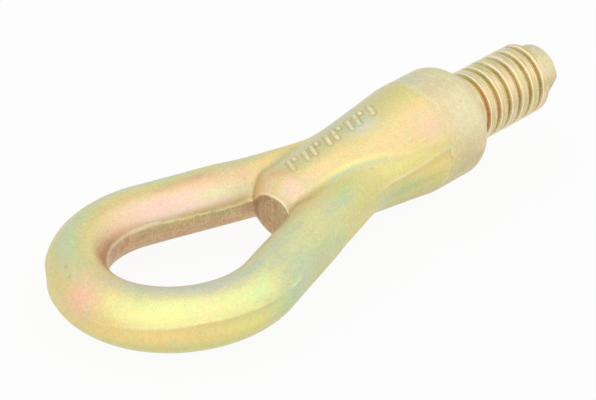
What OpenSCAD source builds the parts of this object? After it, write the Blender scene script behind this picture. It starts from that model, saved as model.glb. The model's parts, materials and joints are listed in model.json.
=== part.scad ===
// Screw-in tow eye: one steel forging with a teardrop loop, a turned collar and a threaded shank.
// It is built along +X with the shoulder's seat at the origin, then laid down as it comes to rest.

/* [Loop] */
// Distance from the seat to the middle of the loop's round end
loop_reach = 99.6; // [85:0.2:120]
// Radius of the bar's middle line round the end of the loop
loop_r = 24.8; // [21:0.2:28]
// Radius of the loop's bar
bar_r = 7.8; // [6.5:0.05:9]
// Distance from the seat to the point where the two legs would meet
legs_meet = 24; // [15:0.5:32]

/* [Neck] */
// Radius of the neck at its waist
waist_r = 10.1; // [8.5:0.1:12]
// Distance from the seat to the waist
waist_back = 61; // [54:0.5:64]
// Height of the neck at its waist as a share of its width
waist_flatness = 0.94; // [0.9:0.01:1.02]
// Distance from the seat to where the nose between the legs starts to fall
nose_back = 62; // [58:0.2:67]
// Length over which the nose falls to the hole
nose_len = 7.5; // [5:0.5:14]
// Rounding of the valleys between the neck and the legs
valley_round = 3.9; // [2:0.1:5]
// Height of the trimmed edge that runs round the forging where its dies met
trim_h = 4.6; // [3:0.1:6]

/* [Collar] */
// Radius of the turned collar
collar_r = 15.5; // [14:0.1:18]
// Distance from the seat to the forged skin
collar_len = 16; // [12:0.5:20]
// Depth of the turning below the forged skin
turned_step = 0.25; // [0.2:0.05:0.6]
// Radius of the collar's rounded shoulder
shoulder_round = 6.2; // [4.5:0.1:7.5]
// Radius of the flat seat inside the rounded shoulder
seat_r = 11; // [10.5:0.1:12]

/* [Shank] */
// Outer diameter of the thread
thread_d = 20; // [18:0.1:20.8]
// Distance from the seat to the end of the thread
thread_end = 29; // [22:0.5:40]
// Advance of the left-hand thread in one turn
thread_pitch = 4.3; // [3.8:0.05:5.5]
// Depth of the thread
thread_depth = 1.2; // [0.8:0.05:1.6]
// Length of the plain land between the seat and the thread's first groove
thread_land = 0.4; // [0.2:0.05:1]
// Width of the thread's groove at the crests
groove_top = 2; // [1.6:0.05:2.4]
// Width of the thread's groove at its floor
groove_floor = 0.95; // [0.6:0.05:1.3]
// Angle round the shank at which the groove leaves the shoulder
thread_start = 274; // [0:1:359]
// Chamfer on the end of the thread
thread_chamfer = 0.8; // [0.3:0.1:1.2]
// Diameter of the plain pilot
pilot_d = 15.6; // [13:0.1:16.6]
// Length of the plain pilot past the thread
pilot_len = 6; // [4:0.5:10]
// Chamfer on the end of the pilot
pilot_chamfer = 0.8; // [0.3:0.1:1.5]
// Depth of the flat milled along one side of the pilot
pilot_flat = 1.4; // [0.3:0.1:1.6]
// Angle round the shank that the flat faces
pilot_flat_side = 205; // [180:1:240]

/* [Hidden] */
$fn = 96;
steel_colour = "#d6cb8c";

// Ribs of the forging's skin: round the loop's end, along a leg, along the neck's side and across its end
end_ribs = 24;
leg_ribs = 12;
side_ribs = 14;
face_ribs = 6;
// Steps of the skin across a rib, from the hole to the outside
rib_steps = 16;
// Halvings used to find the trimmed edge along a ray
edge_halvings = 22;
// Steps of the thread's groove in one turn
groove_steps = 36;
// Clearance by which a cutter runs past what it cuts
past = 0.5;

// Triangle of the straight leg: from the loop's middle to the point where the legs meet
legs_len = loop_reach - legs_meet;
leg_slope = asin(loop_r / legs_len);
leg_straight = legs_len * cos(leg_slope);
skin_r = collar_r + turned_step;
trim_lift = pow(trim_h / 2, 2);
valley_lift = pow(valley_round, 2);
thread_r = thread_d / 2;
pilot_r = pilot_d / 2;
shank_len = thread_end + pilot_len;

function limit(v) = max(0, min(1, v));
function ease(s) = s * s * (3 - 2 * s);
function between(a, b, s) = a + (b - a) * s;

// Distance from a plan point to the middle line of the loop's bar
function bar_off(x, y) =
    let (bx = x + loop_reach, by = abs(y), along = bx * cos(leg_slope) - by * sin(leg_slope))
    along < 0 ? norm([bx, by]) - loop_r :
    along > leg_straight ? norm([bx - legs_len, by]) :
    bx * sin(leg_slope) + by * cos(leg_slope) - loop_r;

// Radius of the neck at a distance along it
function neck_r(x) =
    between(skin_r, waist_r, limit((-x - collar_len) / (waist_back - collar_len)));

// Square of the forging's half height over a plan point, below zero outside it
function lift(x, y) =
    let (fall = max(0, -x - nose_back) / nose_len,
         bar = pow(bar_r, 2) - pow(bar_off(x, y), 2),
         neck = pow(neck_r(x), 2) * (1 - pow(fall, 2)) - y * y)
    (bar + neck) / 2 + norm([(bar - neck) / 2, valley_lift]);

// Height of the section as a share of its width
function flatness(x) =
    let (to_waist = ease(limit((-x - collar_len) / (waist_back - collar_len))),
         to_loop = ease(limit((-x - waist_back) / (nose_back + nose_len - waist_back))))
    between(between(1, waist_flatness, to_waist), 1, to_loop);
function half_height(p) = flatness(p.x) * sqrt(max(lift(p.x, p.y), 0));

// Point of the trimmed edge on a ray, found between a distance in the steel and one outside it
function edge_on(p, ray, in_steel, outside, halvings = edge_halvings) =
    let (middle = (in_steel + outside) / 2, q = p + ray * middle)
    halvings <= 0 ? q :
    lift(q.x, q.y) > trim_lift ? edge_on(p, ray, middle, outside, halvings - 1) :
    edge_on(p, ray, in_steel, middle, halvings - 1);

// Edge of the hole on the middle line, and where the legs' ribs start beside it
crotch = edge_on([0, 0], [-1, 0], nose_back, nose_back + 2 * nose_len).x;
corner_gap = 4;
fan_set_back = 1.5;
leg_start = [-loop_reach + loop_r * sin(leg_slope), loop_r * cos(leg_slope)];
leg_ray = [cos(leg_slope), -sin(leg_slope)];
leg_out = [sin(leg_slope), cos(leg_slope)];
leg_used = (crotch - corner_gap - leg_start.x + leg_out.x * bar_r) / leg_ray.x;

// Each rib is a pair of plan points, at the hole and at the outside
function bar_rib(p, out) =
    [edge_on(p, -out, 0, 1.5 * bar_r), edge_on(p, out, 0, 3 * bar_r)];
leg_rib_list = [for (i = [0 : leg_ribs - 1])
    bar_rib(leg_start + leg_ray * leg_used * (1 - i / leg_ribs), leg_out)];
end_rib_list = [for (i = [0 : end_ribs])
    let (a = between(90 - leg_slope, 180, i / end_ribs))
    bar_rib([-loop_reach, 0] + loop_r * [cos(a), sin(a)], [cos(a), sin(a)])];

// The nose's ribs fan out from the blunt end of the hole to the neck's end face and side
fan_ribs = face_ribs + side_ribs;
fan_centre = [leg_rib_list[0][0].x - fan_set_back, 0];
fan_corner = leg_rib_list[0][0] - fan_centre;
fan_angle = atan2(fan_corner.y, fan_corner.x);
face_half = edge_on([-collar_len, 0], [0, 1], 0, 2 * skin_r).y;
side_end = leg_rib_list[0][1].x;
nose_rib_list = [for (i = [0 : fan_ribs - 1])
    let (a = fan_angle * i / fan_ribs,
         x = between(-collar_len, side_end, (i - face_ribs) / side_ribs))
    [edge_on(fan_centre, [cos(a), sin(a)], 2 * nose_len, 0),
     i <= face_ribs ? [-collar_len, face_half * i / face_ribs] : edge_on([x, 0], [0, 1], 0, 3 * skin_r)]];

half_ribs = concat(nose_rib_list, leg_rib_list, end_rib_list);
mirrored_ribs = [for (i = [len(half_ribs) - 2 : -1 : 1]) [for (p = half_ribs[i]) [p.x, -p.y]]];
ribs = concat(half_ribs, mirrored_ribs);

// Spacing of the skin's points across a rib, closest at the two edges
function rib_share(j) = (1 - cos(180 * j / rib_steps)) / 2;

// Forged body: an upper and a lower skin joined by the trimmed edges at the hole and outside
module forging() {
    rows = len(ribs);
    row_len = rib_steps + 1;
    upper = [for (r = ribs) for (j = [0 : rib_steps])
        let (p = between(r[0], r[1], rib_share(j))) [p.x, p.y, half_height(p)]];
    lower = [for (p = upper) [p.x, p.y, -p.z]];
    function at(i, j, side) = (side * rows + i % rows) * row_len + j;
    skins = [for (i = [0 : rows - 1]) for (j = [0 : rib_steps - 1]) each [
        [at(i, j, 0), at(i + 1, j, 0), at(i + 1, j + 1, 0)],
        [at(i, j, 0), at(i + 1, j + 1, 0), at(i, j + 1, 0)],
        [at(i, j, 1), at(i + 1, j + 1, 1), at(i + 1, j, 1)],
        [at(i, j, 1), at(i, j + 1, 1), at(i + 1, j + 1, 1)]]];
    edges = [for (i = [0 : rows - 1]) each [
        [at(i, 0, 0), at(i, 0, 1), at(i + 1, 0, 1)],
        [at(i, 0, 0), at(i + 1, 0, 1), at(i + 1, 0, 0)],
        [at(i, rib_steps, 0), at(i + 1, rib_steps, 1), at(i, rib_steps, 1)],
        [at(i, rib_steps, 0), at(i + 1, rib_steps, 0), at(i + 1, rib_steps, 1)]]];
    polyhedron(concat(upper, lower), concat(skins, edges));
}

// Turned collar: a band with a rounded shoulder that ends at the flat seat
module collar() {
    round_x = sqrt(pow(shoulder_round, 2) - pow(seat_r - collar_r + shoulder_round, 2));
    root = 2 * turned_step;
    rotate([0, 90, 0]) rotate_extrude() intersection() {
        translate([0, -collar_len - root]) square([collar_r, collar_len + root]);
        union() {
            translate([0, -collar_len - root]) square([collar_r, collar_len + root - round_x]);
            translate([0, -round_x]) square([collar_r - shoulder_round, round_x]);
            translate([collar_r - shoulder_round, -round_x]) circle(shoulder_round);
        }
    }
}

// Cutter of the left-hand groove, from behind the seat to past the thread's end
module thread_groove() {
    reach = thread_r + past;
    half_top = groove_top / 2 + past * (groove_top - groove_floor) / 2 / thread_depth;
    profile = [[-half_top, reach], [-groove_floor / 2, thread_r - thread_depth],
        [groove_floor / 2, thread_r - thread_depth], [half_top, reach]];
    first = -groove_top;
    turns = (thread_end + groove_top - first) / thread_pitch;
    rings = ceil(turns * groove_steps);
    corners = len(profile);
    points = [for (i = [0 : rings]) for (p = profile)
        let (a = thread_start - 360 * i / groove_steps)
        [first + thread_pitch * i / groove_steps + p[0], p[1] * cos(a), p[1] * sin(a)]];
    function at(i, j) = i * corners + j % corners;
    sides = [for (i = [0 : rings - 1]) for (j = [0 : corners - 1]) each [
        [at(i, j), at(i, j + 1), at(i + 1, j + 1)],
        [at(i, j), at(i + 1, j + 1), at(i + 1, j)]]];
    ends = [[at(0, 3), at(0, 2), at(0, 1), at(0, 0)], [for (j = [0 : corners - 1]) at(rings, j)]];
    polyhedron(points, concat(sides, ends));
}

// Shank: thread with a left-hand groove, then a plain pilot with a flat along one side
module shank() {
    root = 2 * groove_top + past;
    difference() {
        rotate([0, 90, 0]) rotate_extrude() polygon([
            [0, -root], [thread_r, -root], [thread_r, thread_end - thread_chamfer],
            [thread_r - thread_chamfer, thread_end], [pilot_r, thread_end],
            [pilot_r, shank_len - pilot_chamfer], [pilot_r - pilot_chamfer, shank_len], [0, shank_len]]);
        intersection() {
            thread_groove();
            translate([thread_land, 0, 0]) rotate([0, 90, 0]) cylinder(shank_len, r = thread_r + 2 * past);
        }
        rotate([pilot_flat_side, 0, 0]) translate([thread_end, pilot_r - pilot_flat, -pilot_r])
            cube([pilot_len + past, pilot_flat + past, 2 * pilot_r]);
    }
}

// Lying down, the forged skin behind the collar and the loop's end touch the floor
far_end = loop_reach + loop_r;
rest_tilt = atan2(skin_r, far_end - collar_len) - asin(bar_r / norm([far_end - collar_len, skin_r]));
rest_h = collar_len * sin(rest_tilt) + skin_r * cos(rest_tilt);
tip_x = shank_len * cos(rest_tilt) + (pilot_r - pilot_chamfer) * sin(rest_tilt);
tail_x = -(far_end + sqrt(pow(bar_r, 2) - trim_lift)) * cos(rest_tilt) - trim_h / 2 * sin(rest_tilt);

module tow_eye() {
    color(steel_colour)
        translate([-(tip_x + tail_x) / 2, 0, rest_h])
        rotate([0, -rest_tilt, 0])
        union() {
            forging();
            collar();
            shank();
        }
}

tow_eye();
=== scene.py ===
import json
import math

import bmesh
import bpy
import numpy as np
from mathutils import Matrix, Vector, noise


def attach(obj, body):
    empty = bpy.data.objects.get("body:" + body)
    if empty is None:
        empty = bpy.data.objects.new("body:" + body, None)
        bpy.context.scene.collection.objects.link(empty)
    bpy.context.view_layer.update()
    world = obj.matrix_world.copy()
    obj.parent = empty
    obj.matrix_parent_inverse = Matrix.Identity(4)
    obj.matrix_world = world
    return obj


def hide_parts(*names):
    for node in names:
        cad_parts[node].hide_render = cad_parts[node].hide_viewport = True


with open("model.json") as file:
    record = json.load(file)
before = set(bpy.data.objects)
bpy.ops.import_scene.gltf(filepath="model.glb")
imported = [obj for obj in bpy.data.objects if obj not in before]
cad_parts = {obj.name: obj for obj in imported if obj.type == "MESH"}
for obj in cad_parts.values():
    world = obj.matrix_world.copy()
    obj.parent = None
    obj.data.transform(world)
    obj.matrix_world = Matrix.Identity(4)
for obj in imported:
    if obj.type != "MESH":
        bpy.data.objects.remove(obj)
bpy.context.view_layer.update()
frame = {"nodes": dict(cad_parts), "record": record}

MM = 0.001

# Sizes of the part's source, in millimetres along the eye's own axes
LOOP_REACH = 99.6
LOOP_R = 24.8
BAR_R = 7.8
LEGS_MEET = 24
TRIM_H = 4.6
WAIST_R = 10.1
WAIST_BACK = 61
WAIST_FLATNESS = 0.94
NOSE_BACK = 62
NOSE_LEN = 7.5
VALLEY_ROUND = 3.9
COLLAR_R = 15.5
TURNED_STEP = 0.25
COLLAR_LEN = 16
SHOULDER_ROUND = 6.2
SEAT_R = 11
THREAD_R = 10
THREAD_END = 29
THREAD_PITCH = 4.3
THREAD_DEPTH = 1.2
THREAD_LAND = 0.4
GROOVE_TOP = 2
GROOVE_FLOOR = 0.95
THREAD_START = 274
THREAD_CHAMFER = 0.8
PILOT_R = 7.8
PILOT_LEN = 6
PILOT_CHAMFER = 0.8
PILOT_FLAT = 1.4
PILOT_FLAT_SIDE = 205

SKIN_R = COLLAR_R + TURNED_STEP
LEGS_LEN = LOOP_REACH - LEGS_MEET
LEG_SLOPE = math.asin(LOOP_R / LEGS_LEN)
LEG_STRAIGHT = LEGS_LEN * math.cos(LEG_SLOPE)
BEND = math.pi / 2 + LEG_SLOPE

# The eye's own axes: along runs from the loop to the shank's tip, over rises out of the loop
mounts = {mount["name"]: mount for mount in frame["record"]["mounts"]}
along = Vector(mounts["thread"]["axis"]).normalized()
across = Vector((0, 1, 0))
over = along.cross(across)
seat = Vector(mounts["thread"]["pos_m"]) - along * THREAD_END / 2 * MM
TILT = math.atan2(along.z, along.x)
TO_FRAME = (Matrix.Translation(seat) @ Matrix((along, across, over)).transposed().to_4x4()
            @ Matrix.Scale(MM, 4))


# Numbers over many points. Below, p holds a piece's points in the eye's own millimetres, and n their normals
def ease(v):
    v = np.clip(v, 0, 1)
    return v * v * (3 - 2 * v)


def rise(v, start, end):
    return ease((v - start) / (end - start))


def hump(v, middle, width):
    return np.exp(-((v - middle) / width) ** 2)


def soft_noise(places, size, seed):
    """Soft noise between about -1 and 1, with bumps of that size."""
    shift = Vector((17.3 * seed, -9.1 * seed, 5.7 * seed))
    return np.array([noise.noise(Vector(p) + shift) for p in np.asarray(places) / size])


def paint(red, green, blue):
    """A colour as a painter names it, from 0 to 255, made linear."""
    c = np.array((red, green, blue)) / 255
    return np.where(c < 0.04045, c / 12.92, ((c + 0.055) / 1.055) ** 2.4)


# Meshes
def new_piece(name, bm):
    mesh = bpy.data.meshes.new(name)
    bm.to_mesh(mesh)
    bm.free()
    piece = bpy.data.objects.new(name, mesh)
    bpy.context.collection.objects.link(piece)
    return piece


def cut_past(bm, place, direction):
    """Cuts away what lies past a place in a direction, and returns the open rim."""
    everything = bm.verts[:] + bm.edges[:] + bm.faces[:]
    bmesh.ops.bisect_plane(bm, geom=everything, dist=0.0001, plane_co=place, plane_no=direction,
                           clear_outer=True)
    return [e for e in bm.edges if e.is_boundary]


def pull_rim(bm, edges, step):
    """Extrudes an open rim along the eye by a step."""
    made = bmesh.ops.extrude_edge_only(bm, edges=edges)["geom"]
    verts = [g for g in made if isinstance(g, bmesh.types.BMVert)]
    bmesh.ops.translate(bm, vec=(step, 0, 0), verts=verts)


def close_up(bm):
    """Fills every open rim and turns the faces outwards."""
    bmesh.ops.holes_fill(bm, edges=[e for e in bm.edges if e.is_boundary], sides=0)
    bmesh.ops.triangulate(bm, faces=[f for f in bm.faces if len(f.verts) > 4])
    bmesh.ops.recalc_face_normals(bm, faces=bm.faces)


def smooth(bm, verts, times):
    for _ in range(times):
        bmesh.ops.smooth_vert(bm, verts=verts, factor=0.5, use_axis_x=True, use_axis_y=True, use_axis_z=True)


def remesh(piece, voxel):
    """Covers a closed piece with an even fine mesh."""
    modifier = piece.modifiers.new("even_mesh", "REMESH")
    modifier.mode = "VOXEL"
    modifier.voxel_size = voxel
    done = bpy.data.meshes.new_from_object(piece.evaluated_get(bpy.context.evaluated_depsgraph_get()))
    piece.modifiers.clear()
    piece.data = done


def lathe(profile, steps, advance=0.0):
    """Spins a profile of (along, radius) points about the eye's axis, moving it along in each turn."""
    bm = bmesh.new()
    verts = [bm.verts.new((x, r, 0)) for x, r in profile]
    for a, b in zip(verts, verts[1:]):
        bm.edges.new((a, b))
    bmesh.ops.spin(bm, geom=bm.verts[:] + bm.edges[:], cent=(0, 0, 0), axis=(1, 0, 0),
                   dvec=(advance / steps, 0, 0), angle=math.tau, steps=steps, use_merge=advance == 0)
    bmesh.ops.remove_doubles(bm, verts=bm.verts, dist=0.0005)
    bmesh.ops.recalc_face_normals(bm, faces=bm.faces)
    return bm


def points_of(piece):
    values = np.empty(len(piece.data.vertices) * 3)
    piece.data.vertices.foreach_get("co", values)
    return values.reshape(-1, 3)


def normals_of(piece):
    values = np.empty(len(piece.data.vertices) * 3)
    piece.data.vertex_normals.foreach_get("vector", values)
    return values.reshape(-1, 3)


def move_points(piece, points):
    piece.data.vertices.foreach_set("co", np.asarray(points).ravel())
    piece.data.update()


def keep_values(piece, name, values):
    layer = piece.data.attributes.new(name, "FLOAT", "POINT")
    layer.data.foreach_set("value", np.asarray(values, dtype=np.float32))


def keep_colours(piece, name, colours):
    layer = piece.data.color_attributes.new(name, "FLOAT_COLOR", "POINT")
    rgba = np.c_[np.clip(colours, 0, 1), np.ones(len(colours))]
    layer.data.foreach_set("color", rgba.astype(np.float32).ravel())


# The source's formulas for the forging, over many points at once
def bar_section(x, y):
    """How far past the loop's bend a point lies along a leg, and how far outside the bar's middle line."""
    bx = x + LOOP_REACH
    by = np.abs(y)
    straight = bx * math.cos(LEG_SLOPE) - by * math.sin(LEG_SLOPE)
    beside_leg = bx * math.sin(LEG_SLOPE) + by * math.cos(LEG_SLOPE)
    off = np.where(straight < 0, np.hypot(bx, by), beside_leg) - LOOP_R
    return straight, np.where(straight > LEG_STRAIGHT, np.hypot(bx - LEGS_LEN, by), off)


def neck_share(x):
    return (-x - COLLAR_LEN) / (WAIST_BACK - COLLAR_LEN)


def skin_lift(x, y):
    off = bar_section(x, y)[1]
    fall = np.maximum(0, -x - NOSE_BACK) / NOSE_LEN
    bar = BAR_R ** 2 - off ** 2
    neck_r = SKIN_R + (WAIST_R - SKIN_R) * np.clip(neck_share(x), 0, 1)
    neck = neck_r ** 2 * (1 - fall ** 2) - y ** 2
    return (bar + neck) / 2 + np.hypot((bar - neck) / 2, VALLEY_ROUND ** 2)


def flatness(x):
    to_loop = ease((-x - WAIST_BACK) / (NOSE_BACK + NOSE_LEN - WAIST_BACK))
    waist = 1 + (WAIST_FLATNESS - 1) * ease(neck_share(x))
    return waist + (1 - waist) * to_loop


# Places on the forging: run is the way along the loop's bar from its far end, below zero on the near leg,
# and turn is the angle round the bar, with 0 outside, 90 on top, 180 at the hole and below zero underneath
def bar_places(p):
    straight, off = bar_section(p[:, 0], p[:, 1])
    bend = np.arctan2(np.abs(p[:, 1]), -p[:, 0] - LOOP_REACH)
    run = np.where(straight < 0, LOOP_R * bend, LOOP_R * BEND + straight)
    turn = np.degrees(np.arctan2(p[:, 2], off))
    return np.where(p[:, 1] < 0, -run, run), np.where(turn < -90, turn + 360, turn)


def neck_turn(p):
    """Angle round the neck, with 0 at the near side, 90 on top and 180 at the far side."""
    turn = np.degrees(np.arctan2(p[:, 2], -p[:, 1]))
    return np.where(turn < -90, turn + 360, turn)


def trim_height(p):
    """Height of the trimmed land's upper edge, which wanders along the near side and round the hole."""
    run = bar_places(p)[0]
    off = bar_section(p[:, 0], p[:, 1])[1]
    on_loop = np.interp(run, (-70, -46, -25, -6, 8, 30), (2.3, 2.4, 3.0, 1.4, 1.7, 2.3))
    on_neck = np.interp(p[:, 0], (-64, -46, -34, -26, -17), (2.3, 1.6, 1.2, 2.1, 3.4))
    outside = rise(off, 2, 4) * (1 - rise(p[:, 1], -1, 1)) * rise(p[:, 2], -1.5, 1.5)
    wandering = on_loop + (on_neck - on_loop) * rise(p[:, 0], -70, -62)
    on_legs = np.interp(np.abs(run), (18, 30, 40, 52, 62, 73), (2.3, 1.8, 1.5, 1.2, 0.6, 0.7))
    on_nose = np.interp(p[:, 1], (-8, -6.4, -5.2, -3.9, -1.6, 0.4, 2.2, 4, 6.6),
                        (1.2, 2.3, 3.7, 4.6, 5.3, 5.3, 4.7, 3.5, 1.1))
    at_nose = rise(p[:, 0], -71.5, -69.5)
    in_hole = on_legs + (on_nose - on_legs) * at_nose
    inside = rise(-off, 2, 4) * (at_nose + (1 - at_nose) * rise(p[:, 2], -2.2, 0))
    return TRIM_H / 2 + (wandering - TRIM_H / 2) * outside + (in_hole - TRIM_H / 2) * inside


# Where the solid is cut for the forged skin, and where the skin ends inside the collar
SKIN_CUT = -COLLAR_LEN - 1
SKIN_END = -COLLAR_LEN + 2
SKIN_VOXEL = 0.48


def depth_in(p):
    """Above zero in the forging's steel, and zero on its skin and its trimmed lands."""
    height = (p[:, 2] / flatness(p[:, 0])) ** 2
    return skin_lift(p[:, 0], p[:, 1]) - np.maximum(height, trim_height(p) ** 2)


def settle(p, times):
    """Moves points onto the skin, short of its end inside the collar."""
    near = 0.01
    hold = 1 - rise(p[:, 0], SKIN_END - 0.8, SKIN_END - 0.4)
    for _ in range(times):
        slope = np.stack([depth_in(p + step) - depth_in(p - step) for step in near * np.eye(3)], 1) / near / 2
        share = depth_in(p) / np.maximum((slope ** 2).sum(1), 1)
        p = p - slope * (hold * share)[:, None]
    return p


# Forged skin: the solid short of its collar, run on into the collar, under a fine even mesh
bm = bmesh.new()
bm.from_mesh(frame["nodes"]["tow_eye"].data)
bmesh.ops.remove_doubles(bm, verts=bm.verts, dist=0.000002)
bmesh.ops.transform(bm, matrix=TO_FRAME.inverted(), verts=bm.verts)
rim = cut_past(bm, (SKIN_CUT, 0, 0), (1, 0, 0))
pull_rim(bm, rim, SKIN_END - SKIN_CUT)
close_up(bm)
forged_skin = new_piece("forged_skin", bm)
remesh(forged_skin, SKIN_VOXEL)

# Raised die marks on the neck: a worn row of slanted dashes, of which every third is short
MARK_FIRST = -59.6
MARK_SPACING = 2.65
MARK_SLANT = 64
MARKS = 12
MARK_H = 0.45
# Place across the neck, length and width
LONG_MARK = (1.1, 4.6, 0.8)
SHORT_MARK = (2.6, 1.5, 0.75)


def mark_distance(p, number):
    """Distance in plan from the outline of one of the die marks."""
    middle_y, length, width = SHORT_MARK if number % 3 == 1 else LONG_MARK
    slant = math.radians(MARK_SLANT)
    dx = p[:, 0] - MARK_FIRST - MARK_SPACING * number
    dy = p[:, 1] - middle_y
    way = dx * math.cos(slant) + dy * math.sin(slant)
    beyond = np.maximum(np.abs(way) - (length - width) / 2, 0)
    return np.hypot(beyond, dy * math.cos(slant) - dx * math.sin(slant)) - width / 2


def hole_side(p, n):
    """How far a point's skin faces the middle of the hole, seen in plan."""
    to_hole = np.stack([np.clip(p[:, 0], -LOOP_REACH, -74) - p[:, 0], -p[:, 1]], 1)
    flat = n[:, :2] / np.maximum(np.hypot(n[:, 0], n[:, 1]), 0.05)[:, None]
    return (flat * to_hole).sum(1) / np.maximum(np.hypot(to_hole[:, 0], to_hole[:, 1]), 0.1)


# The skin is settled on the formulas, and its mesh is finer at the marks and the trimmed edges
NEAR_MARK = 0.7
NEAR_EDGE = 0.55
bm = bmesh.new()
bm.from_mesh(forged_skin.data)
smooth(bm, bm.verts, 2)
p = settle(np.array([v.co for v in bm.verts]), 3)
for vert, place in zip(bm.verts, p):
    vert.co = place
bm.normal_update()
n = np.array([v.normal for v in bm.verts])
at_mark = (np.min([mark_distance(p, k) for k in range(MARKS)], axis=0) < NEAR_MARK) & (p[:, 2] > 6)
facing = np.hypot(n[:, 0], n[:, 1]) > 0.7
at_edge = facing & (np.abs(np.abs(p[:, 2]) - trim_height(p)) < NEAR_EDGE) & (p[:, 0] < -COLLAR_LEN)
fine = at_mark | at_edge
edges = [e for e in bm.edges if fine[e.verts[0].index] and fine[e.verts[1].index]]
bmesh.ops.subdivide_edges(bm, edges=edges, cuts=1, use_grid_fill=True)
bm.to_mesh(forged_skin.data)
bm.free()
p = settle(points_of(forged_skin), 2)
move_points(forged_skin, p)

# Relief of the forged skin: lips of the trimmed lands, die marks and pits
LIP_WIDTH = 0.22
TOP_LIP_H = 0.2
LOW_LIP_H = 0.1
OUTER_LIP_H = 0.12
PIT_DEPTH = 0.1
# How far the skin's end dips under the collar's band, and the place along the eye
END_DIP = 0.44
END_EDGE = -COLLAR_LEN - 0.2
# Middle and radius of each pit
PITS = (((-126, 10.2, 7), 0.5), ((-127.8, 6.9, 6.6), 0.45), ((-43.1, -11.5, 6.6), 0.4),
        ((-104, -27, 7), 0.4), ((-86, 20, -7), 0.5), ((-30, 9, -12), 0.5))

n = normals_of(forged_skin)
run, turn = bar_places(p)
inward = hole_side(p, n) * (1 - rise(p[:, 0], -66, -62))
sideways = rise(np.hypot(n[:, 0], n[:, 1]), 0.3, 0.7)
flat_n = np.c_[n[:, :2], np.zeros(len(n))]
flat_n /= np.maximum(np.hypot(n[:, 0], n[:, 1]), 0.2)[:, None]

ragged = 0.75 + 0.5 * soft_noise(p, 3.6, 1) + 0.3 * soft_noise(p, 1.3, 2)
wander = 0.3 * soft_noise(p, 3.4, 9) + 0.12 * soft_noise(p, 1.2, 25)
to_edge = p[:, 2] - trim_height(p) * np.sign(p[:, 2])
to_top = p[:, 2] - trim_height(p)
to_bottom = p[:, 2] + trim_height(p)
top_lip = hump(to_top + wander, 0, LIP_WIDTH) * rise(inward, 0.1, 0.5)
low_lip = hump(to_bottom + wander, 0, LIP_WIDTH) * rise(inward, 0.1, 0.5)
low_lip *= 1 - rise(p[:, 0], -74, -71)
sheared = rise(inward, 0.2, 0.6) * rise(-to_top - wander, -0.1, 0.3) * rise(to_bottom, -1.7, -0.3)
outer_trim = hump(to_edge, 0, 0.34) * sideways * rise(-inward, -0.3, 0.1)
outer_trim *= 1 - rise(p[:, 0], -16.8, -16)
wavy = 0.09 * soft_noise(p, 13, 3) + 0.03 * soft_noise(p, 4, 4)
end_edge = END_EDGE + 0.7 * soft_noise(p * (0, 1, 1), 6, 5) + 0.25 * soft_noise(p * (0, 1, 1), 2, 6)
marks = np.zeros(len(p))
foot = np.zeros(len(p))
for number in range(MARKS):
    to_side = mark_distance(p, number)
    marks = np.maximum(marks, rise(0.24 - to_side, 0, 0.34))
    foot = np.maximum(foot, hump(to_side, 0.45, 0.3))
on_top = rise(p[:, 2], 4, 7)
marks *= on_top * np.clip(0.8 + 0.5 * soft_noise(p, 1.2, 7), 0, 1)
foot *= on_top * (1 - marks)
pits = np.zeros(len(p))
for place, size in PITS:
    pits = np.maximum(pits, hump(np.linalg.norm(p - place, axis=1), 0, size))
p = p + n * (wavy + MARK_H * marks - PIT_DEPTH * pits)[:, None]
lips = TOP_LIP_H * top_lip + LOW_LIP_H * low_lip + OUTER_LIP_H * outer_trim
p = p + flat_n * (lips * np.clip(ragged, 0, 1.2))[:, None]
dip = 1 - END_DIP * rise(p[:, 0] - end_edge, -3, 1.2) / SKIN_R
p[:, 1:] *= np.where(p[:, 0] > -20, dip, 1)[:, None]
move_points(forged_skin, p)

# Rainbow film on the forged skin, bloom by bloom, with some painted highlights and painted shade among the
# blooms
GREY_GREEN = paint(204, 211, 174)
PALE_GREEN = paint(206, 214, 166)
SEA_GREEN = paint(194, 212, 164)
TEAL = paint(186, 214, 184)
LIME = paint(226, 243, 176)
LILAC = paint(196, 206, 198)
OLIVE = paint(212, 207, 138)
KHAKI = paint(209, 201, 155)
MOSS = paint(186, 173, 112)
GOLD = paint(229, 211, 142)
OLD_GOLD = paint(203, 179, 106)
YELLOW = paint(242, 233, 146)
LEMON = paint(246, 241, 168)
ORANGE = paint(254, 220, 146)
PEACH = paint(249, 215, 168)
PINK = paint(250, 208, 198)
ROSE = paint(247, 193, 170)
CLAY = paint(198, 150, 118)
BROWN = paint(187, 139, 98)
DIM_CLAY = paint(178, 140, 112)
SHEARED = paint(192, 160, 126)
CREAM = paint(253, 242, 208)
BAND = paint(224, 215, 172)
DARK_OLIVE = paint(150, 143, 104)
# The forged skin's film is a little yellower than its blooms, and the pilot's a little darker
SKIN_TINT = (1, 1, 0.92)
PILOT_SHADE = 0.94


def blend(film, colour, share):
    """Mixes a colour, or another film, into a film by each point's share."""
    return film + (colour - film) * share[:, None]


def bloom(film, u, v, middle, spread, colour, strength=1.0, crisp=1):
    """Blends a colour in round a middle. A crisp bloom is even inside and ends sooner."""
    away = ((u - middle[0]) / spread[0]) ** 2 + ((v - middle[1]) / spread[1]) ** 2
    return blend(film, colour, strength * np.exp(-away ** crisp))


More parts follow.
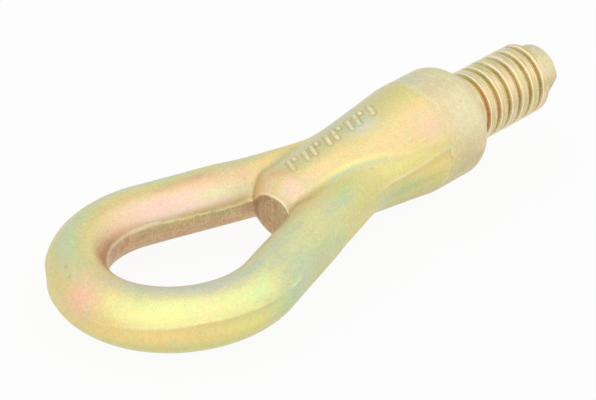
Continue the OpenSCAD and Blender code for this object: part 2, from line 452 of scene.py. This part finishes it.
def loop_film(run, turn):
    film = np.tile(GOLD, (len(run), 1))
    for middle, spread, colour, strength in (
            ((-64, 46), (28, 64), GREY_GREEN, 1.0),
            ((-70, 2), (22, 20), PALE_GREEN, 0.7),
            ((-68, 36), (11, 15), SEA_GREEN, 0.2),
            ((-62, 92), (22, 11), PALE_GREEN, 0.8),
            ((-80, 118), (15, 14), OLD_GOLD, 1.0),
            ((-62, 122), (9, 8), GOLD, 0.5),
            ((-44, 4), (5.5, 34), TEAL, 1.0),
            ((-51, 8), (5, 44), paint(203, 221, 196), 0.7),
            ((-34, 0), (8, 20), YELLOW, 1.0),
            ((-17, 2), (10, 20), ORANGE, 1.0),
            ((-24, -29), (22, 12), OLIVE, 0.9),
            ((-24, -48), (40, 12), GREY_GREEN, 0.8),
            ((-28, 98), (26, 24), LILAC, 1.0),
            ((-34, 134), (34, 16), paint(214, 219, 204), 1.0),
            ((-26, 146), (30, 24), paint(208, 212, 198), 0.9),
            ((-11, 105), (8, 10), paint(200, 203, 206), 0.8),
            ((-8, 62), (4, 16), YELLOW, 0.8),
            ((-12, 92), (6, 10), PALE_GREEN, 0.5),
            ((0, 44), (5, 46), ROSE, 1.0),
            ((8, 20), (5, 42), GOLD, 0.6),
            ((16, 20), (9, 30), KHAKI, 0.7),
            ((18, 78), (10, 30), SEA_GREEN, 1.0),
            ((14, 112), (9, 12), YELLOW, 0.6),
            ((13, 140), (9, 14), BROWN, 1.0),
            ((24, 160), (12, 16), paint(200, 138, 108), 1.0),
            ((52, 66), (36, 16), paint(198, 208, 206), 0.9),
            ((58, 82), (36, 11), PALE_GREEN, 0.9),
            ((60, 98), (36, 8), OLIVE, 0.9),
            ((54, 142), (27, 28), paint(250, 206, 206), 1.0),
            ((56, 106), (32, 8), paint(222, 188, 138), 0.9),
            ((68, 112), (11, 13), paint(234, 184, 164), 0.9),
            ((66, 102), (13, 9), paint(210, 178, 142), 0.8),
            ((66, 144), (8, 11), LIME, 0.6),
            # Painted light: the near white cream-pink bloom just above the far leg's lip, made lighter
            # against the shade of that hollow
            ((58, 161), (28, 10), paint(255, 230, 224), 1.0),
            ((38, 162), (9, 9), paint(255, 212, 204), 0.7),
            ((50, 190), (36, 14), SHEARED, 1.0),
            ((62, 180), (16, 8), MOSS, 1.0),
            ((30, 184), (12, 18), paint(194, 132, 104), 0.9),
            ((58, 203), (40, 9), CLAY, 0.7),
            ((58, 222), (46, 14), BROWN, 0.9)):
        film = bloom(film, run, turn, middle, spread, colour, strength)
    # Painted highlight: a lemon and lime bloom above the near leg's trim line, over the film's own colour
    above_trim = rise(turn - np.interp(run, (-25, -6, 8), (21, 8, 12)), -1, 3)
    lemon = bloom(film, run, turn, (-24, 40), (17, 28), LEMON, 1.0, 2)
    lemon = bloom(lemon, run, turn, (-38, 50), (5, 20), LIME, 0.8)
    lemon = bloom(lemon, run, turn, (-24, 62), (15, 8), LIME, 0.6)
    return blend(film, lemon, above_trim)


def neck_film(x, turn):
    film = np.tile(GOLD, (len(x), 1))
    valley = turn - np.interp(x, (-68, -60, -54, -47, -38, -30), (34, 40, 44, 42, 33, 24))
    for middle, spread, colour, strength in (
            ((-70, 8), (17, 20), PALE_GREEN, 1.0),
            ((-58, 24), (8, 9), TEAL, 0.8),
            ((-48, 14), (9, 12), OLIVE, 0.7),
            ((-54, 31), (10, 7), paint(198, 206, 136), 0.9),
            ((-34, 16), (12, 12), YELLOW, 0.8),
            ((-34, 36), (14, 12), PEACH, 0.7),
            ((-64, 52), (5, 14), PINK, 0.8),
            ((-55, 62), (10, 10), PEACH, 1.0),
            ((-36, 50), (14, 12), PEACH, 0.7),
            ((-20, 42), (5, 18), PINK, 0.6),
            ((-24, 60), (8, 12), PEACH, 0.7),
            ((-46, 92), (24, 17), KHAKI, 1.0),
            ((-36, 83), (5, 13), paint(203, 212, 210), 0.8),
            ((-24, 88), (10, 14), OLIVE, 0.6),
            ((-42, 118), (30, 13), LILAC, 0.7),
            ((-67, 62), (4, 26), PINK, 0.9),
            ((-66, 100), (4.5, 26), paint(226, 186, 136), 1.0),
            ((-70, 138), (4.5, 16), paint(246, 198, 172), 0.9),
            ((-57, 134), (11, 9), paint(202, 198, 150), 0.9),
            ((-58, 147), (7, 4.5), ORANGE, 0.8),
            ((-69, 150), (5, 9), paint(226, 194, 158), 0.8),
            ((-62, 157), (12, 7), GREY_GREEN, 0.9),
            ((-23, 2), (9, 9), ORANGE, 0.5),
            ((-33, -14), (8, 12), paint(186, 208, 152), 0.9),
            ((-22, -25), (8, 11), OLIVE, 0.9),
            ((-42, -14), (7, 12), GREY_GREEN, 0.8),
            ((-32, -46), (30, 18), paint(190, 182, 126), 0.9)):
        film = bloom(film, x, turn, middle, spread, colour, strength)
    # Along the valley from the neck to the legs: teal and lemon painted highlight, and old gold painted shade
    # at its end by the loop
    film = bloom(film, x, valley, (-49, -2.5), (12, 3), TEAL, 0.9)
    film = bloom(film, x, valley, (-47, 4), (12, 3.6), LEMON, 0.9)
    return bloom(film, x, valley, (-63, -3), (5, 2.5), OLD_GOLD, 0.8)


def both_sides(film_at, u, turn, mirror_u, top_from, top_to):
    """The film on top, and the same family of blooms in another order underneath."""
    under = 1 - rise(turn, top_from - 25, top_from) * (1 - rise(turn, top_to, top_to + 25))
    top_film = film_at(u, turn)
    turned_over = np.where(turn < 90, -turn, 360 - turn)
    under_film = film_at(mirror_u, turned_over)
    return blend(top_film, under_film, under)


round_neck = neck_turn(p)
drift = 1.6 * soft_noise(p, 7, 7)
sway = 4 * soft_noise(p, 9, 8)
on_loop = both_sides(loop_film, run + drift, turn + sway, -run + drift, -60, 215)
on_neck = both_sides(neck_film, p[:, 0] + drift, round_neck + 0.6 * sway, -84 - p[:, 0] + drift, -50, 200)
to_neck = rise(p[:, 0] + 0.35 * np.abs(p[:, 1]), -72, -62)
film = blend(on_loop, on_neck, to_neck)

# Rainbow streaks along the legs and the neck
lean = LEG_SLOPE * (1 - rise(p[:, 0], -72, -48))
way = (p[:, 0] + 60) * np.cos(lean) - np.abs(p[:, 1]) * np.sin(lean)
aside = (p[:, 0] + 60) * np.sin(lean) + np.abs(p[:, 1]) * np.cos(lean)
streaks = soft_noise(np.c_[way / 18 + p[:, 1] / 40, aside / 5, p[:, 2] / 5 + p[:, 1] / 12], 1, 26)
streaks += 0.6 * soft_noise(np.c_[way / 4.5, aside / 1.3, p[:, 2] / 1.3 + p[:, 1] / 7], 1, 27)
near_leg = rise(-run, 34, 46) * (1 - rise(p[:, 0], -66, -50)) * rise(-p[:, 1], 1, 6)
streak_strength = 0.08 + 0.13 * near_leg
for middle, width, colour in ((-0.5, 0.2, LILAC), (-0.2, 0.14, TEAL), (0.08, 0.12, LIME),
                              (0.32, 0.14, YELLOW), (0.6, 0.2, PEACH)):
    film = blend(film, colour, streak_strength * hump(streaks, middle, width))

# Painted shade in the creases, below the near trim line and under the hole's lands; sheared lands and the end
# at the band; cream painted highlights on the upper lips, the outer trim line and the marks, and worn lower
# lips
# Painted shade: clay in the valleys where the neck meets the bar
above_bar = skin_lift(p[:, 0], p[:, 1]) - BAR_R ** 2 + bar_section(p[:, 0], p[:, 1])[1] ** 2
crease = hump(np.log(np.maximum(above_bar, 0.1) / VALLEY_ROUND ** 2), 0, 0.6)
crease *= rise(p[:, 2], 0, 2) * (1 - rise(p[:, 0], -66, -58))
film = blend(film, CLAY, 0.5 * crease)
# Where the outer trim line takes its painted highlight: patches on the loop, and all of it near the collar
near_collar = rise(p[:, 0], -48, -38)
patchy = (hump(run, -44, 7) + 0.5 * hump(run, -14, 9)) * (1 - near_collar) + near_collar
patchy *= rise(soft_noise(p, 6, 10), -0.35, 0.25)
# Painted shade: old gold just below the outer trim line, near the collar on the near side
below_trim = rise(-to_edge, 0, 0.4) * (1 - rise(-to_edge, 1.6, 3)) * near_collar * sideways * (p[:, 1] < 0)
film = blend(film, OLD_GOLD, 0.22 * below_trim)
# Painted shade: clay under the lower lips of the lands inside the hole
beneath = rise(inward, 0.1, 0.5) * (1 - rise(to_bottom, -0.9, 0.5))
film = blend(film, CLAY, 0.7 * beneath)
nose_face = rise(p[:, 0], -72, -70) * (1 - rise(p[:, 0], -66, -65)) * (1 - rise(np.abs(p[:, 1]), 8, 9))
film = blend(film, SHEARED, sheared * (0.3 + 0.3 * nose_face))
film = blend(film, DIM_CLAY, 0.7 * sheared * nose_face)
to_band = rise(p[:, 0] - end_edge + 2.2 * soft_noise(p, 3.2, 14) + 0.8 * soft_noise(p, 1.1, 15), -4, 1.4)
film = blend(film, BAND, 0.7 * to_band)
seam = hump(p[:, 0] - end_edge, -0.6, 0.6) * np.clip(0.4 + 0.9 * soft_noise(p, 1.6, 28), 0, 1)
# Cream: painted highlights on the upper lips of the hole's lands, along the top of the outer trim line and on
# the die marks; wear on the lower lips, and a cream seam at the band
bright_lip = hump(to_top + wander, 0.06, 0.3) * rise(inward, 0.1, 0.5)
glints_and_wear = 0.9 * bright_lip * rise(ragged, 0.1, 0.7) + 0.2 * low_lip * ragged
glints_and_wear += 0.7 * outer_trim * patchy * (p[:, 2] > 0)
glints_and_wear += marks * np.clip(0.6 + 0.7 * soft_noise(p, 1.6, 16), 0.2, 0.95)
glints_and_wear += 0.9 * seam
film = blend(film, CREAM, np.clip(glints_and_wear, 0, 0.9))
# Painted shade round the foot of each die mark, and darker olive in the pits
darkening = (0.4 + 0.3 * soft_noise(p, 2, 17)) * foot + 0.5 * pits
film = blend(film, DARK_OLIVE, np.clip(darkening, 0, 1))
keep_colours(forged_skin, "film", film * SKIN_TINT)
keep_values(forged_skin, "sheared", sheared)

# Turned collar: band, rounded shoulder, seat and the thread's plain land
COLLAR_STEPS = 256
COLLAR_ROOT = 1.5
BURR_H = 0.22
round_x = math.sqrt(SHOULDER_ROUND ** 2 - (SEAT_R - COLLAR_R + SHOULDER_ROUND) ** 2)
round_end = math.atan2(round_x, SEAT_R - COLLAR_R + SHOULDER_ROUND)
shoulder = [(SHOULDER_ROUND * math.sin(a) - round_x, COLLAR_R - SHOULDER_ROUND + SHOULDER_ROUND * math.cos(a))
            for a in np.linspace(0, round_end, 36)]
band = [(x, COLLAR_R) for x in np.linspace(-COLLAR_LEN - 1, -round_x - 0.6, 9)]
seat_face = [(-0.06, SEAT_R - 0.04), (0, SEAT_R - 0.16), (0, THREAD_R + 0.03), (THREAD_LAND - 0.05, THREAD_R),
             (THREAD_LAND, THREAD_R - 0.08), (THREAD_LAND, 0)]
inner_end = [(-COLLAR_LEN - COLLAR_ROOT, 0), (-COLLAR_LEN - COLLAR_ROOT, COLLAR_R - 0.5)]
bm = lathe(inner_end + band + shoulder[:-1] + seat_face, COLLAR_STEPS)
turned_collar = new_piece("turned_collar", bm)
p = points_of(turned_collar)
burr = hump(p[:, 0] + 0.95 + 0.3 * soft_noise(p, 5, 18), 0, 0.3) * (np.hypot(p[:, 1], p[:, 2]) > 11.5)
burr *= np.clip(0.35 + 0.9 * soft_noise(p, 3, 19) + 0.5 * soft_noise(p, 1, 20), 0, 1)
shown = (p[:, 0] > -COLLAR_LEN - 1.2) & (p[:, 0] < -0.1)
uneven = shown * (0.04 * soft_noise(p, 6, 21) + BURR_H * burr)
move_points(turned_collar, p + normals_of(turned_collar) * uneven[:, None])


def collar_film(x, turn):
    film = np.tile(BAND, (len(x), 1))
    for middle, spread, colour, strength in (
            ((-8, 38), (16, 30), paint(238, 228, 186), 0.9),
            ((-9, -22), (16, 24), paint(206, 191, 150), 0.9),
            ((-15, 48), (2.5, 18), PEACH, 0.4),
            ((-15, 2), (2.5, 14), GOLD, 0.5),
            ((-13, 104), (5, 16), LILAC, 0.6),
            ((-11, 72), (5, 10), paint(214, 202, 164), 0.7),
            ((-4, 100), (5, 20), PALE_GREEN, 0.4),
            ((-5, -4), (5, 10), PEACH, 0.4)):
        film = bloom(film, x, turn, middle, spread, colour, strength)
    return film


x = p[:, 0] + 2 * soft_noise(p, 5, 22)
round_collar = neck_turn(p) + 8 * soft_noise(p, 7, 23)
film = both_sides(collar_film, x, round_collar, x, -60, 200)
skin_film = both_sides(neck_film, p[:, 0], round_collar, -84 - p[:, 0], -50, 200)
near_skin = 1 - rise(p[:, 0] + 2.5 * soft_noise(p, 3.2, 14) + soft_noise(p, 1.1, 15), -17.5, -12.5)
film = blend(film, skin_film, 0.55 * near_skin)
film = blend(film, CREAM, 0.8 * burr)
keep_colours(turned_collar, "film", film)

# Rolled thread: the section of each turn from the middle of one crest to the next
THREAD_STEPS = 144
HALF = GROOVE_TOP / 2
FLOOR = GROOVE_FLOOR / 2
half_crest = [(-THREAD_PITCH / 2, 0), (-2, 0), (-1.85, 0), (-1.7, 0), (-1.55, 0)]
flank = [(-HALF - 0.35, 0), (-HALF - 0.2, 0.01), (-HALF - 0.09, 0.05), (-HALF - 0.01, 0.13),
         (-HALF + 0.06, 0.25), (-HALF + 0.2, 0.56), (-FLOOR - 0.08, 1.0), (-FLOOR, 1.12),
         (-FLOOR + 0.09, 1.18), (-FLOOR + 0.2, THREAD_DEPTH), (0, THREAD_DEPTH)]
whole_turn = half_crest + [(0.86 * x, d) for x, d in flank]
whole_turn += [(-x, d) for x, d in (half_crest + flank)[-2:0:-1]]
first_groove = -GROOVE_TOP + THREAD_PITCH * THREAD_START / 360
profile = [(first_groove + THREAD_PITCH * k + x, THREAD_R - d) for k in range(-2, 9) for x, d in whole_turn]
bm = lathe(profile, THREAD_STEPS, -THREAD_PITCH)
cut_past(bm, (-1.5, 0, 0), (-1, 0, 0))
cut_past(bm, (THREAD_END, 0, 0), (1, 0, 0))
for x in (THREAD_END - THREAD_CHAMFER, THREAD_END - THREAD_CHAMFER / 2):
    bmesh.ops.bisect_plane(bm, geom=bm.verts[:] + bm.edges[:] + bm.faces[:], dist=0.0001, plane_co=(x, 0, 0),
                           plane_no=(1, 0, 0))
close_up(bm)
rolled_thread = new_piece("rolled_thread", bm)
p = points_of(rolled_thread)
radius = np.hypot(p[:, 1], p[:, 2])
chamfer = THREAD_R - np.maximum(0, p[:, 0] - THREAD_END + THREAD_CHAMFER)
keep = np.minimum(1, chamfer / np.maximum(radius, 1))
p[:, 1:] *= keep[:, None]
round_shank = np.arctan2(p[:, 2], p[:, 1])
helix = np.mod(p[:, 0] - first_groove + THREAD_PITCH * round_shank / math.tau, THREAD_PITCH) / THREAD_PITCH
depth = (THREAD_R - radius) / THREAD_DEPTH
p += 0.035 * soft_noise(p, 2.5, 11)[:, None] * np.c_[np.zeros(len(p)), p[:, 1:] / THREAD_R]
move_points(rolled_thread, p)
shank_turn = neck_turn(p)
streaks = soft_noise(np.c_[round_shank * 1.3, helix * 7, p[:, 0] / 9], 1, 12)
fine_streaks = soft_noise(np.c_[round_shank * 2, helix * 16, p[:, 0] / 6], 1, 24)
patches = soft_noise(p, 4, 13)


# Crests of the thread: film colour, with painted light and shade by side, lighter about 44° round and darker
# underneath and near the top
def crest_light_and_film(x, turn):
    film = np.tile(paint(208, 194, 148), (len(x), 1))
    for middle, spread, colour, strength in (
            ((15, -30), (40, 28), paint(186, 164, 114), 1.0),
            ((15, 12), (40, 20), paint(214, 190, 140), 1.0),
            ((15, 44), (40, 18), paint(237, 217, 168), 1.0),
            ((15, 76), (40, 15), paint(186, 174, 124), 1.0),
            ((15, 112), (40, 22), paint(200, 194, 158), 1.0),
            ((4, 20), (5, 40), paint(226, 184, 146), 0.7)):
        film = bloom(film, x, turn, middle, spread, colour, strength)
    return film


# Groove floors: darker than the crests as painted shade, also lighter about 40° round and darker underneath
def groove_shade_and_film(x, turn):
    film = np.tile(paint(184, 164, 114), (len(x), 1))
    for middle, spread, colour, strength in (
            ((15, -28), (40, 28), paint(170, 148, 98), 1.0),
            ((15, 40), (40, 24), paint(204, 182, 124), 1.0),
            ((15, 92), (40, 26), paint(188, 182, 132), 1.0),
            ((4, 15), (4, 40), paint(208, 154, 114), 0.9)):
        film = bloom(film, x, turn, middle, spread, colour, strength)
    return film


film = both_sides(crest_light_and_film, p[:, 0], shank_turn + 8 * patches, p[:, 0], -60, 200)
for middle, width, colour, strength in (
        (-0.42, 0.16, PALE_GREEN, 0.6),
        (-0.15, 0.13, paint(214, 200, 120), 0.75),
        (0.12, 0.12, CREAM, 0.55),
        (0.4, 0.18, ROSE, 0.6)):
    film = blend(film, colour, strength * hump(streaks + 0.35 * patches, middle, width))
film = blend(film, OLD_GOLD, 0.7 * rise(fine_streaks, 0.1, 0.5))
# The groove floors take the darker groove colours, painted shade, with clay patches
floor_shade_and_film = both_sides(groove_shade_and_film, p[:, 0], shank_turn + 8 * patches, p[:, 0], -60, 200)
floor_shade_and_film = blend(floor_shade_and_film, CLAY, 0.35 * rise(patches - streaks, 0.1, 0.6))
film = blend(film, floor_shade_and_film, rise(depth, 0.12, 0.7))
# Painted shade: moss on one flank of each turn, except about 32° round
shaded_flank = hump(helix, 0.165, 0.05) * (1 - hump(shank_turn, 32, 34))
film = blend(film, MOSS, 0.6 * shaded_flank)
# Painted highlights: cream along the crest edges, and a shine in the groove floors about 60° round
floor_shine = 0.5 * hump(np.minimum(helix, 1 - helix), 0, 0.05) * hump(shank_turn, 60, 28)
bright_edge = hump(helix, 0.255, 0.035) + 0.45 * hump(helix, 0.76, 0.04) + floor_shine
film = blend(film, CREAM, bright_edge * np.clip(0.75 + 0.6 * fine_streaks, 0.2, 0.95))
keep_colours(rolled_thread, "film", film)

# Plain pilot with its milled flat
PILOT_STEPS = 96
PILOT_START = THREAD_END - 2
PILOT_END = THREAD_END + PILOT_LEN
bm = lathe([(PILOT_START, 0), (PILOT_START, PILOT_R), (PILOT_END - PILOT_CHAMFER, PILOT_R),
            (PILOT_END, PILOT_R - PILOT_CHAMFER), (PILOT_END, 0)], PILOT_STEPS)
side = (0, math.cos(math.radians(PILOT_FLAT_SIDE)), math.sin(math.radians(PILOT_FLAT_SIDE)))
cut_past(bm, Vector(side) * (PILOT_R - PILOT_FLAT), side)
bmesh.ops.holes_fill(bm, edges=[e for e in bm.edges if e.is_boundary], sides=0)
bmesh.ops.recalc_face_normals(bm, faces=bm.faces)
sharp = [e for e in bm.edges if len(e.link_faces) == 2 and e.calc_face_angle() > 0.5]
bmesh.ops.bevel(bm, geom=sharp, offset=0.14, offset_type="OFFSET", affect="EDGES", segments=2, profile=0.5,
                material=-1)
pilot = new_piece("pilot", bm)
p = points_of(pilot)
like_collar = p[:, 0] - 40
film = both_sides(collar_film, like_collar, neck_turn(p), like_collar, -60, 200)
keep_colours(pilot, "film", PILOT_SHADE * film)


# Shaders
class Value:
    """One shader value. Python's operators on it add Math nodes."""

    def __init__(self, finish, socket):
        self.finish = finish
        self.socket = socket

    def math(self, operation, *others):
        return self.finish.node("ShaderNodeMath", {"operation": operation}, (self,) + others)

    def __add__(self, other):
        return self.math("ADD", other)

    __radd__ = __add__

    def __mul__(self, other):
        return self.math("MULTIPLY", other)

    __rmul__ = __mul__

    def __sub__(self, other):
        return self.math("SUBTRACT", other)


class Finish:
    """A material or world and its nodes."""

    def __init__(self, owner):
        owner.use_nodes = True
        self.tree = owner.node_tree
        self.owner = owner

    def node(self, kind, settings=None, inputs=(), output=0):
        node = self.tree.nodes.new(kind)
        for name, value in (settings or {}).items():
            setattr(node, name, value)
        pairs = inputs.items() if isinstance(inputs, dict) else enumerate(inputs)
        for key, value in pairs:
            self.feed(node.inputs[key], value)
        return Value(self, node.outputs[output])

    def feed(self, socket, value):
        if isinstance(value, Value):
            self.tree.links.new(value.socket, socket)
        else:
            socket.default_value = value

    def mix(self, factor, first, second, how="MIX"):
        return self.node("ShaderNodeMix", {"data_type": "RGBA", "blend_type": how},
                         {0: factor, 6: first, 7: second}, 2)

    def millimetres(self):
        place = self.node("ShaderNodeTexCoord", output=3)
        return self.node("ShaderNodeVectorMath", {"operation": "SCALE"}, {0: place, 3: 1 / MM})

    def grain(self, place, size, detail=2.0, roughness=0.5):
        return self.node("ShaderNodeTexNoise", None,
                         {"Vector": place, "Scale": 1 / size, "Detail": detail, "Roughness": roughness})

    def named(self, name, output=2):
        return self.node("ShaderNodeAttribute", {"attribute_name": name}, (), output)

    def spread(self, value, start, end, low=0.0, high=1.0):
        return self.node("ShaderNodeMapRange", {"interpolation_type": "SMOOTHSTEP"},
                         {"Value": value, "From Min": start, "From Max": end, "To Min": low, "To Max": high})

    def surface(self, inputs):
        shader = self.tree.nodes["Principled BSDF"]
        for name, value in inputs.items():
            self.feed(shader.inputs[name], value)


def plated(name, film, roughness, metallic, relief):
    """A metal finish: a film colour, its roughness, and a fine relief in millimetres."""
    finish = Finish(bpy.data.materials.new(name))
    film_colour = film(finish)
    finish.surface({"Base Color": film_colour, "Metallic": metallic, "Roughness": roughness(finish),
                    "Normal": finish.node("ShaderNodeBump", None,
                                          {"Strength": 1.0, "Distance": MM, "Height": relief(finish)})})
    return finish.owner


def rgb(colour):
    return tuple(float(c) for c in colour) + (1.0,)


def shear_marks(finish):
    """Upright streaks, as the trimming tool leaves them on the lands round the hole."""
    upright = {"Vector": finish.millimetres(), "Scale": (1.8, 1.8, 0.16)}
    return finish.grain(finish.node("ShaderNodeMapping", None, upright), 1.0, 3.0)


def forged_film(finish):
    film = finish.named("film", 0)
    place = finish.millimetres()
    mottle = finish.grain(place, 4.5, 3.0)
    film = finish.mix(finish.spread(mottle, 0.5, 0.75, 0.0, 0.2), film, rgb(SEA_GREEN))
    film = finish.mix(finish.spread(mottle, 0.5, 0.25, 0.0, 0.15), film, rgb(PEACH))
    fine_mottle = finish.grain(place, 1.3, 2.0)
    film = finish.mix(finish.spread(fine_mottle, 0.5, 0.7, 0.0, 0.16), film, rgb(LIME))
    film = finish.mix(finish.spread(fine_mottle, 0.5, 0.3, 0.0, 0.16), film, rgb(ROSE))
    sheared = finish.named("sheared")
    streak = shear_marks(finish)
    film = finish.mix(sheared * finish.spread(streak, 0.48, 0.66, 0.0, 0.17), film, rgb(KHAKI), "MULTIPLY")
    film = finish.mix(sheared * finish.spread(streak, 0.48, 0.3, 0.0, 0.14), film, rgb(CREAM))
    speck = finish.grain(place, 0.45, 3.0, 0.65)
    film = finish.mix(finish.spread(speck, 0.5, 0.75, 0.0, 0.33), film, rgb(CREAM))
    return finish.mix(finish.spread(speck, 0.5, 0.25, 0.0, 0.36), film, rgb(KHAKI), "MULTIPLY")


def forged_rough(finish):
    return finish.spread(finish.grain(finish.millimetres(), 1.6, 3.0), 0.3, 0.7, 0.36, 0.46)


def forged_relief(finish):
    place = finish.millimetres()
    sheared = finish.named("sheared") * shear_marks(finish)
    return finish.grain(place, 0.5, 3.0, 0.6) * 0.04 + finish.grain(place, 2.4, 3.0) * 0.06 + sheared * 0.06


forged_plating = plated("forged_plating", forged_film, forged_rough, 0.9, forged_relief)


def tool_rings(finish, size):
    """Fine uneven rings round the eye's axis, as a turning tool leaves them."""
    turned = {"Vector": finish.millimetres(), "Rotation": (0, TILT, 0), "Scale": (1 / size, 0.4, 0.4)}
    return finish.grain(finish.node("ShaderNodeMapping", None, turned), 1.0, 2.0)


def turned_film(finish):
    place = finish.millimetres()
    film = finish.named("film", 0)
    mottle = finish.grain(place, 2.6, 3.0)
    film = finish.mix(finish.spread(mottle, 0.5, 0.75, 0.0, 0.35), film, rgb(GREY_GREEN))
    fine_mottle = finish.grain(place, 1.7, 2.0)
    film = finish.mix(finish.spread(fine_mottle, 0.5, 0.3, 0.0, 0.3), film, rgb(PEACH))
    rings = tool_rings(finish, 0.7)
    film = finish.mix(finish.spread(rings, 0.5, 0.7, 0.0, 0.3), film, rgb(CREAM))
    speck = finish.grain(place, 0.5, 3.0, 0.65)
    film = finish.mix(finish.spread(speck, 0.5, 0.75, 0.0, 0.32), film, rgb(CREAM))
    return finish.mix(finish.spread(speck, 0.5, 0.3, 0.0, 0.3), film, rgb(KHAKI), "MULTIPLY")


def turned_rough(finish):
    return finish.spread(finish.grain(finish.millimetres(), 1.2, 3.0), 0.3, 0.7, 0.46, 0.56)


def turned_relief(finish):
    return tool_rings(finish, 0.4) * 0.015 + finish.grain(finish.millimetres(), 0.5, 3.0, 0.6) * 0.05


turned_plating = plated("turned_plating", turned_film, turned_rough, 0.8, turned_relief)


def thread_film(finish):
    film = finish.named("film", 0)
    speck = finish.grain(finish.millimetres(), 0.5, 3.0, 0.6)
    return finish.mix(finish.spread(speck, 0.5, 0.7, 0.0, 0.3), film, rgb(CREAM))


def thread_rough(finish):
    return finish.spread(finish.grain(finish.millimetres(), 1.0, 3.0), 0.3, 0.7, 0.2, 0.3)


def thread_relief(finish):
    return finish.grain(finish.millimetres(), 0.6, 3.0, 0.6) * 0.05


rolled_plating = plated("rolled_plating", thread_film, thread_rough, 0.9, thread_relief)

# Each piece goes into the frame, in its finish, on the tow eye's body
for piece, material in ((forged_skin, forged_plating), (turned_collar, turned_plating),
                        (rolled_thread, rolled_plating), (pilot, turned_plating)):
    piece.data.transform(TO_FRAME)
    piece.data.polygons.foreach_set("use_smooth", [True] * len(piece.data.polygons))
    piece.data.materials.clear()
    piece.data.materials.append(material)
    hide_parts("tow_eye")
    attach(piece, "root")
pilot.data.set_sharp_from_angle(angle=math.radians(35))
turned_collar.data.set_sharp_from_angle(angle=math.radians(50))

# Floor, white background and soft studio light
FLOOR_HALF = 3
FLOOR_WHITENESS = 0.92
SKY_LIGHT = 0.8
TENT_BACK = 0.9
TENT_FRONT = 1.17
FRONT = (-0.47, -0.67, 0.57)
bm = bmesh.new()
bmesh.ops.create_grid(bm, x_segments=1, y_segments=1, size=FLOOR_HALF)
floor = new_piece("floor", bm)
paper = Finish(bpy.data.materials.new("white_paper"))
paper.surface({"Base Color": (0.93, 0.93, 0.92, 1), "Roughness": 0.9})
seen = paper.node("ShaderNodeLightPath", output=0)
mirrored = paper.node("ShaderNodeLightPath", output=3)
white = paper.node("ShaderNodeEmission", None, {"Color": (1, 1, 1, 1), "Strength": 1.0})
shader = Value(paper, paper.tree.nodes["Principled BSDF"].outputs[0])
whiteness = seen.math("MAXIMUM", mirrored) * FLOOR_WHITENESS
lit = paper.node("ShaderNodeMixShader", None, {0: whiteness, 1: shader, 2: white})
paper.feed(paper.tree.nodes["Material Output"].inputs["Surface"], lit)
floor.data.materials.append(paper.owner)

scene = bpy.context.scene
world = bpy.data.worlds.new("studio")
scene.world = world
sky = Finish(world)
seen = sky.node("ShaderNodeLightPath", output=0)
mirrored = sky.node("ShaderNodeLightPath", output=3)
passing = sky.node("ShaderNodeLightPath", output=6)
direction = sky.node("ShaderNodeTexCoord", output=0)
to_front = sky.node("ShaderNodeVectorMath", {"operation": "DOT_PRODUCT"}, (direction, FRONT), 1)
tent = sky.spread(to_front, -0.6, 0.6, TENT_BACK, TENT_FRONT)
white_seen = seen.math("MAXIMUM", passing)
strength = SKY_LIGHT + (1 - SKY_LIGHT) * white_seen + (tent - SKY_LIGHT) * mirrored
sky.feed(world.node_tree.nodes["Background"].inputs["Color"], (1, 1, 1, 1))
sky.feed(world.node_tree.nodes["Background"].inputs["Strength"], strength)


def softbox(name, place, size, power):
    lamp = bpy.data.lights.new(name, "AREA")
    lamp.shape = "RECTANGLE"
    lamp.size, lamp.size_y = size
    lamp.energy = power
    holder = bpy.data.objects.new(name, lamp)
    holder.location = place
    holder.rotation_euler = (-Vector(place)).to_track_quat("-Z", "Y").to_euler()
    bpy.context.collection.objects.link(holder)


softbox("top_light", (-0.1, 0.1, 1.3), (2.0, 1.6), 0.7)
softbox("side_light", (-1.1, -0.2, 0.6), (0.9, 0.9), 0.25)

camera_data = bpy.data.cameras.new("camera")
camera_data.lens = 136.95
camera_data.sensor_width = 36
camera = bpy.data.objects.new("camera", camera_data)
camera.location = (-0.370554, -0.359268, 0.285420)
camera.rotation_euler = [math.radians(a) for a in (61.748, -1.043, -44.513)]
bpy.context.collection.objects.link(camera)
scene.camera = camera
scene.view_settings.view_transform = "Standard"
